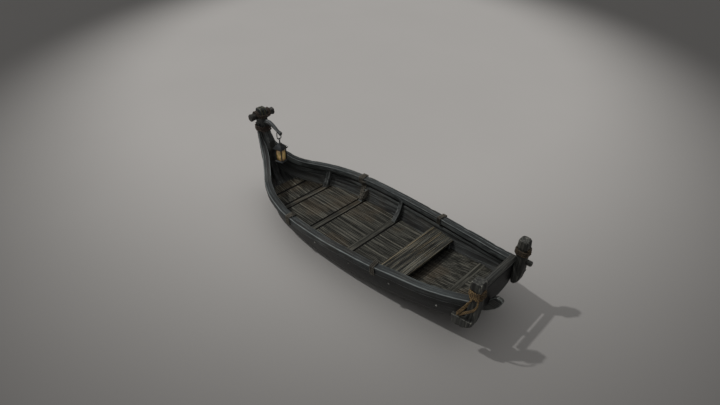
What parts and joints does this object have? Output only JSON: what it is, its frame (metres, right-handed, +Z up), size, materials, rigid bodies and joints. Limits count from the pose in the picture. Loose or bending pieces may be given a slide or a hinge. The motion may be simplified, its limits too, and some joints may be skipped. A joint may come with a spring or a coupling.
{
  "type": "riverboat",
  "caption": "Small open wooden riverboat with a tall lashed prow, a lantern hanging from a horn-shaped arm, slatted floor, one bench and roped stern posts.",
  "frame": {"origin": "bottom centre of the boat's box, on the ground under the flat bottom plank", "axes": "+X to the bow, +Y to port, +Z up"},
  "size_m": [4.033, 1.3884, 1.284],
  "materials": {
    "dark_tarred_wood": "weathered dark tar",
    "grey_brown_board": "worn bare boards",
    "hemp_rope": "laid hemp",
    "blackened_iron": "blackened",
    "blue_grey_tin": "worn blue-grey",
    "amber_glass": "amber, lit from inside",
    "candle_wax": "wax"
  },
  "bodies": {
    "hull": {"bottom_plank": "dark_tarred_wood", "stem": "dark_tarred_wood", "transom": "dark_tarred_wood", "stern_crossbeam": "dark_tarred_wood", "skeg": "dark_tarred_wood", "peg": "dark_tarred_wood", "prow_crossbar": "dark_tarred_wood", "horn_arm": "dark_tarred_wood", "bilge_plank_port": "dark_tarred_wood", "bilge_plank_starboard": "dark_tarred_wood", "side_plank_port": "dark_tarred_wood", "side_plank_starboard": "dark_tarred_wood", "gunwale_port": "dark_tarred_wood", "gunwale_starboard": "dark_tarred_wood", "inner_stringer_port": "dark_tarred_wood", "inner_stringer_starboard": "dark_tarred_wood", "rib_a_port": "dark_tarred_wood", "rib_a_starboard": "dark_tarred_wood", "rib_b_port": "dark_tarred_wood", "rib_b_starboard": "dark_tarred_wood", "rib_c_port": "dark_tarred_wood", "rib_c_starboard": "dark_tarred_wood", "bench_riser_port": "dark_tarred_wood", "bench_riser_starboard": "dark_tarred_wood", "stern_post_port": "dark_tarred_wood", "stern_post_starboard": "dark_tarred_wood", "floor_timber_a": "grey_brown_board", "floor_timber_b": "grey_brown_board", "floor_timber_c": "grey_brown_board", "floor_timber_d": "grey_brown_board", "floor_timber_e": "grey_brown_board", "floor_panel_bow": "grey_brown_board", "floor_panel_fore": "grey_brown_board", "floor_panel_mid": "grey_brown_board", "floor_panel_thwart": "grey_brown_board", "floor_panel_aft": "grey_brown_board", "floor_panel_stern": "grey_brown_board", "bench_top": "grey_brown_board", "gunwale_lashing_fore_port": "hemp_rope", "gunwale_lashing_fore_starboard": "hemp_rope", "gunwale_lashing_aft_port": "hemp_rope", "gunwale_lashing_aft_starboard": "hemp_rope", "post_lashing_port": "hemp_rope", "post_lashing_starboard": "hemp_rope", "prow_lashing": "hemp_rope", "prow_collar": "hemp_rope"},
    "link": {"lantern_link": "blackened_iron"},
    "lantern": {"lantern_frame": "blue_grey_tin", "lantern_glass": "amber_glass", "candle": "candle_wax"}
  },
  "joints": [
    {"name": "link_swing", "type": "hinge", "parent": "hull", "child": "link", "pos_m": [1.54153, 0, 1.042], "axis": [0, 1, 0], "range_deg": [-5, 18]},
    {"name": "lantern_swing", "type": "hinge", "parent": "link", "child": "lantern", "pos_m": [1.54153, 0, 0.949], "axis": [1, 0, 0], "range_deg": [-10, 10]}
  ]
}
